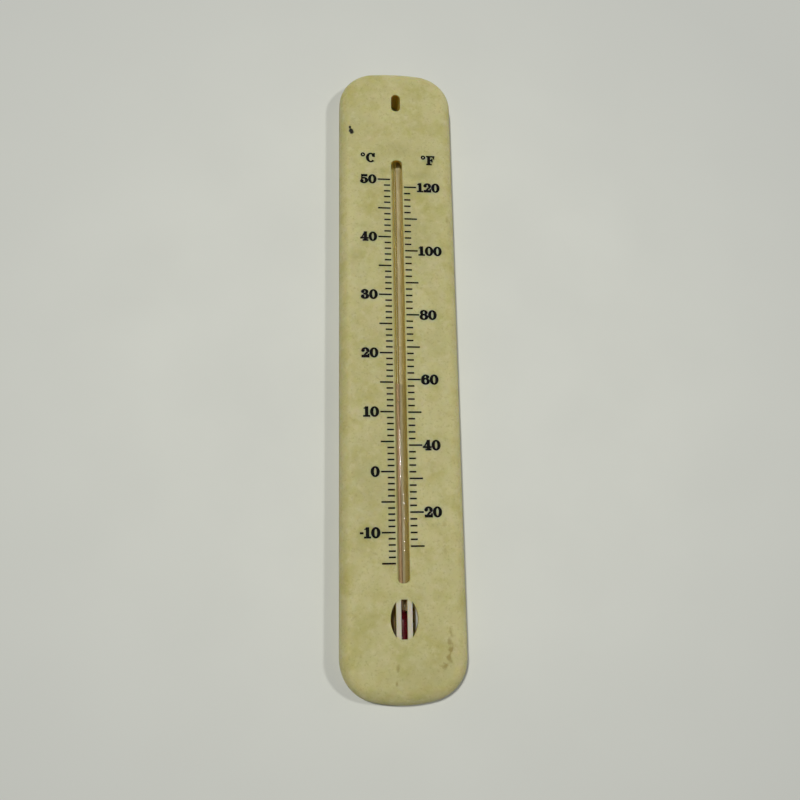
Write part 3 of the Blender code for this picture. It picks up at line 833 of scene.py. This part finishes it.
def plastic_material():
    """Cream plastic, yellowed unevenly with age, with stains and fine scuffs, and with painted shade
    low on its walls.

    Its inside is amber, partly as less bleached plastic and partly as painted amber shade in the
    recesses, and a painted glow by the channel stands in for light let through the thin wall.
    """
    made, tree, shader, place = new_material("aged_cream_plastic")
    color = mix_color(tree, remap(tree, grain(tree, place, 55, detail=3), 0.35, 0.65), *CREAM)
    for scale, detail, start, stop, share, tint in ((150, 5, 0.46, 0.7, 1, YELLOWED),
                                                    (420, 4, 0.5, 0.72, 0.55, WORN),
                                                    (1400, 3, 0.55, 0.75, 0.6, SPECK)):
        patches = remap(tree, grain(tree, place, scale, detail, roughness=0.6), start, stop, 0, share)
        color = mix_color(tree, patches, color, tint)
    for marks, tint in ((SMUDGES, SMUDGE), (BROWN_STAINS, BROWN), (FRESH_STAINS, SOOT)):
        for spot, radii, softness, wobble, strength in marks:
            share = math_node(tree, "MULTIPLY", blot(tree, place, spot, radii, softness, wobble), strength)
            color = mix_color(tree, share, color, tint)
    axes = add(tree, "ShaderNodeSeparateXYZ", {0: place}).outputs
    across, length = (math_node(tree, "ABSOLUTE", axes[name], 0) for name in ("X", "Y"))
    window = (0, WINDOW_FROM_BOTTOM / MM)
    reach = ((WINDOW_HALF_WIDTH - BAR_MARGIN) / MM, CENTRE_SLIT_LENGTH / 2 / MM)
    bars = blot(tree, place, window, reach, BAR_SOFTNESS)
    bars = math_node(tree, "MULTIPLY", bars, remap(tree, across, *BAR_HALF_WIDTHS, 0, BAR_SHARE))
    color = mix_color(tree, bars, color, BAR_WHITE)
    # Painted shade: darker low on the walls, towards the rim at the back
    low_wall_shade = remap(tree, axes["Z"], *LOW_WALL_SHADE_HEIGHTS, 0, LOW_WALL_SHADE_SHARE)
    color = mix_color(tree, low_wall_shade, color, LOW_WALL_SHADE)
    # Amber inside the shell and on the slot walls: less bleached plastic and painted amber shade
    amber_shade_mask = remap(tree, axes["Z"], *AMBER_SHADE_HEIGHTS)
    for distance, edge in ((across, CASE_WIDTH / 2), (length, CASE_LENGTH / 2)):
        amber_shade_enclosed = remap(tree, distance, *(edge - margin for margin in AMBER_SHADE_MARGINS))
        amber_shade_mask = math_node(tree, "MULTIPLY", amber_shade_mask, amber_shade_enclosed)
    color = mix_color(tree, amber_shade_mask, color, UNBLEACHED_AMBER_AND_SHADE)
    link(tree, color, shader, "Base Color")
    # Painted glow inside the shell by the channel, standing in for light let through the wall
    inside = remap(tree, axes["Z"], *PAINTED_GLOW_HEIGHTS)
    for distance, fade in ((across, PAINTED_GLOW_HALF_WIDTHS), (length, PAINTED_GLOW_HALF_LENGTHS)):
        inside = math_node(tree, "MULTIPLY", inside, remap(tree, distance, *fade))
    painted_glow = mix_color(tree, grain(tree, place, 120, detail=3), *PAINTED_GLOW)
    link(tree, mix_color(tree, inside, BLACK, painted_glow), shader, "Emission Color")
    link(tree, remap(tree, grain(tree, place, 400), 0.3, 0.7, 0.45, 0.6), shader, "Roughness")
    settle(shader, {"Emission Strength": PAINTED_GLOW_STRENGTH, "Specular IOR Level": 0.28, "IOR": 1.46,
                    "Subsurface Weight": 1, "Subsurface Scale": 3 * MM,
                    "Subsurface Radius": (1.0, 0.62, 0.2)})
    swell = (grain(tree, place, 90, detail=2), 0.25, 0.4 * MM)
    scuffs = (grain(tree, place, 2600, detail=3), 0.15, 0.04 * MM)
    bump(tree, shader, [swell, scuffs])
    return made


# The enamel's colours from left to right: each band fades in between two places across the tube. The darker,
# amber bands on the right are painted shade and a painted reflection of the amber channel walls.
ENAMEL_LEFT = (0.3, 0.265, 0.115, 1)
ENAMEL_SHADE_BANDS = (
    ((0.02 * MM, 0.18 * MM), (0.275, 0.23, 0.125, 1)),
    ((0.45 * MM, 0.62 * MM), (0.195, 0.145, 0.04, 1)),
    ((0.7 * MM, 0.95 * MM), (0.1, 0.074, 0.014, 1)),
)
ENAMEL_MOTTLE = (0.24, 0.2, 0.09, 1)
ENAMEL_WAVER = 0.05 * MM


def enamel_material():
    """Opal enamel, pale on the left and darkening to amber towards the right, where the colour is painted
    shade and a painted reflection of the amber channel walls.
    """
    made, tree, shader, place = new_material("opal_enamel")
    across = add(tree, "ShaderNodeSeparateXYZ", {0: place}).outputs["X"]
    shake = remap(tree, grain(tree, place, 250, detail=3), 0.3, 0.7, -ENAMEL_WAVER, ENAMEL_WAVER)
    across = math_node(tree, "ADD", across, shake)
    color = ENAMEL_LEFT
    # The bands to the right are painted shade and a painted reflection of the channel walls
    for fade, tint in ENAMEL_SHADE_BANDS:
        color = mix_color(tree, remap(tree, across, *fade), color, tint)
    mottle = remap(tree, grain(tree, place, 500), 0.35, 0.65, 0, 0.2)
    color = mix_color(tree, mottle, color, ENAMEL_MOTTLE)
    link(tree, color, shader, "Base Color")
    link(tree, remap(tree, grain(tree, place, 300, detail=3), 0.3, 0.7, 0.35, 0.5), shader, "Roughness")
    settle(shader, {"Specular IOR Level": 0.1})
    return made


def glass_material():
    """Clear glass, faintly wavy, with its highlights held back."""
    made, tree, shader, place = new_material("clear_tube_glass")
    settle(shader, {"Transmission Weight": 1, "IOR": 1.48, "Base Color": (0.96, 0.97, 0.94, 1),
                    "Specular Tint": (0.2, 0.2, 0.19, 1)})
    link(tree, remap(tree, grain(tree, place, 300, detail=3), 0.3, 0.7, 0.02, 0.05), shader, "Roughness")
    bump(tree, shader, [(grain(tree, place, 60, detail=2), 0.1, 0.1 * MM)])
    return made


def coated_material(name, colors, scale, roughness, specular=0.5, relief=0.0):
    """Two tones mixed by noise, with a roughness range and an optional relief."""
    made, tree, shader, place = new_material(name)
    share = remap(tree, grain(tree, place, scale), 0.35, 0.65)
    link(tree, mix_color(tree, share, *[(*c, 1) for c in colors]), shader, "Base Color")
    shine = remap(tree, grain(tree, place, scale * 3, detail=3), 0.3, 0.7, *roughness)
    link(tree, shine, shader, "Roughness")
    settle(shader, {"Specular IOR Level": specular})
    if relief:
        bump(tree, shader, [(grain(tree, place, scale * 2, detail=3), 0.4, relief)])
    return made


SPIRIT_TONES = ((0.045, 0.001, 0.003), (0.065, 0.002, 0.005))
FADED_TONES = ((0.25, 0.16, 0.08), (0.285, 0.19, 0.1))
# Cement tones, kept dark as painted shade where the lower dab fills the view through the bulb window
CEMENT_AND_SHADE_TONES = ((0.17, 0.105, 0.02), (0.22, 0.14, 0.032))
INK_TONES = ((0.003, 0.0025, 0.0018), (0.006, 0.005, 0.0038))
PAPER = ((0.69, 0.7, 0.642, 1), (0.715, 0.725, 0.665, 1))
# Painted shade on the paper, fading in between these distances from the middle
PAPER_FALLOFF_SHADE = (0.625, 0.635, 0.595, 1)
PAPER_FALLOFF_DISTANCES = (0.08, 0.19)


def floor_material():
    """Pale paper, with painted shade that makes it a little darker away from the middle."""
    made, tree, shader, place = new_material("pale_floor")
    color = mix_color(tree, remap(tree, grain(tree, place, 30), 0.35, 0.65), *PAPER)
    distance = add(tree, "ShaderNodeVectorMath", {0: place}, operation="LENGTH").outputs["Value"]
    # Painted shade: the paper darkens away from the middle
    color = mix_color(tree, remap(tree, distance, *PAPER_FALLOFF_DISTANCES), color, PAPER_FALLOFF_SHADE)
    link(tree, color, shader, "Base Color")
    link(tree, remap(tree, grain(tree, place, 60, detail=3), 0.3, 0.7, 0.8, 0.9), shader, "Roughness")
    return made


# ---------------------------------------------------------------- build

PLASTIC = plastic_material()
GLASS = glass_material()
ENAMEL = enamel_material()
SPIRIT = coated_material("dark_red_spirit", SPIRIT_TONES, 400, (0.2, 0.3), specular=0.1)
FADED = coated_material("faded_spirit", FADED_TONES, 400, (0.3, 0.4), specular=0.1)
# The cement's dark tone is partly painted shade for the bulb window
CEMENT = coated_material("amber_cement_and_shade", CEMENT_AND_SHADE_TONES, 500, (0.3, 0.5), relief=0.2 * MM)
INK = coated_material("printed_ink", INK_TONES, 900, (0.6, 0.75), specular=0.1, relief=0.01 * MM)

make_case(PLASTIC)
make_stem(GLASS)
make_enamel(ENAMEL)
make_bulb(GLASS)
make_reservoir(SPIRIT)
make_thread(FADED)
make_meniscus(FADED)
for place in ("lower", "middle", "upper"):
    make_dab(f"cement_{place}", f"cement_dab_{place}", CEMENT)
make_scale(INK)

# ---------------------------------------------------------------- stage, light and camera

FLOOR_REACH = 2
FLOOR_DROP = 0.1 * MM
LIGHT_DISTANCE = 2.2
LIGHT_SIZE = 0.2
LIGHT_COLOR = (1, 1, 0.98)
WORLD_COLOR = (0.97, 0.98, 1, 1)
WORLD_STRENGTH = 0.05
SENSOR_WIDTH = 36
FOCAL_LENGTH = 36
NEAREST_SEEN = 0.01
CAMERA_PLACE = (-26.71 * MM, -72.29 * MM, 258.9 * MM)
CAMERA_TURN = (13.193, -5.818, -0.975)


def make_floor():
    mesh = bmesh.new()
    bmesh.ops.create_grid(mesh, x_segments=1, y_segments=1, size=FLOOR_REACH)
    made = new_object("floor", mesh)
    made.location.z = -FLOOR_DROP
    made.data.materials.append(floor_material())
    return made


def area_light(name, azimuth, elevation, power):
    """A round soft light at a bearing from the object, facing it. Azimuth 0 is +X and 90 is +Y."""
    light = bpy.data.lights.new(name, "AREA")
    light.shape = "DISK"
    light.size = LIGHT_SIZE
    light.energy = power
    light.color = LIGHT_COLOR
    made = bpy.data.objects.new(name, light)
    turn, rise = math.radians(azimuth), math.radians(elevation)
    away = Vector((math.cos(turn) * math.cos(rise), math.sin(turn) * math.cos(rise), math.sin(rise)))
    made.location = away * LIGHT_DISTANCE
    made.rotation_euler = away.to_track_quat("Z", "Y").to_euler()
    bpy.context.scene.collection.objects.link(made)


def make_world():
    """A dim even light from all round."""
    world = bpy.data.worlds.new("studio")
    world.use_nodes = True
    settle(world.node_tree.nodes["Background"], {"Color": WORLD_COLOR, "Strength": WORLD_STRENGTH})
    return world


def make_camera():
    lens = bpy.data.cameras.new("camera")
    lens.sensor_width = SENSOR_WIDTH
    lens.lens = FOCAL_LENGTH
    lens.clip_start = NEAREST_SEEN
    made = bpy.data.objects.new("camera", lens)
    made.location = CAMERA_PLACE
    made.rotation_euler = [math.radians(angle) for angle in CAMERA_TURN]
    bpy.context.scene.collection.objects.link(made)
    return made


floor = make_floor()
area_light("key", azimuth=6, elevation=54, power=11.5)
area_light("overhead", azimuth=145, elevation=74, power=29)

scene = bpy.context.scene
scene.world = make_world()
scene.view_settings.view_transform = "Standard"
scene.camera = make_camera()
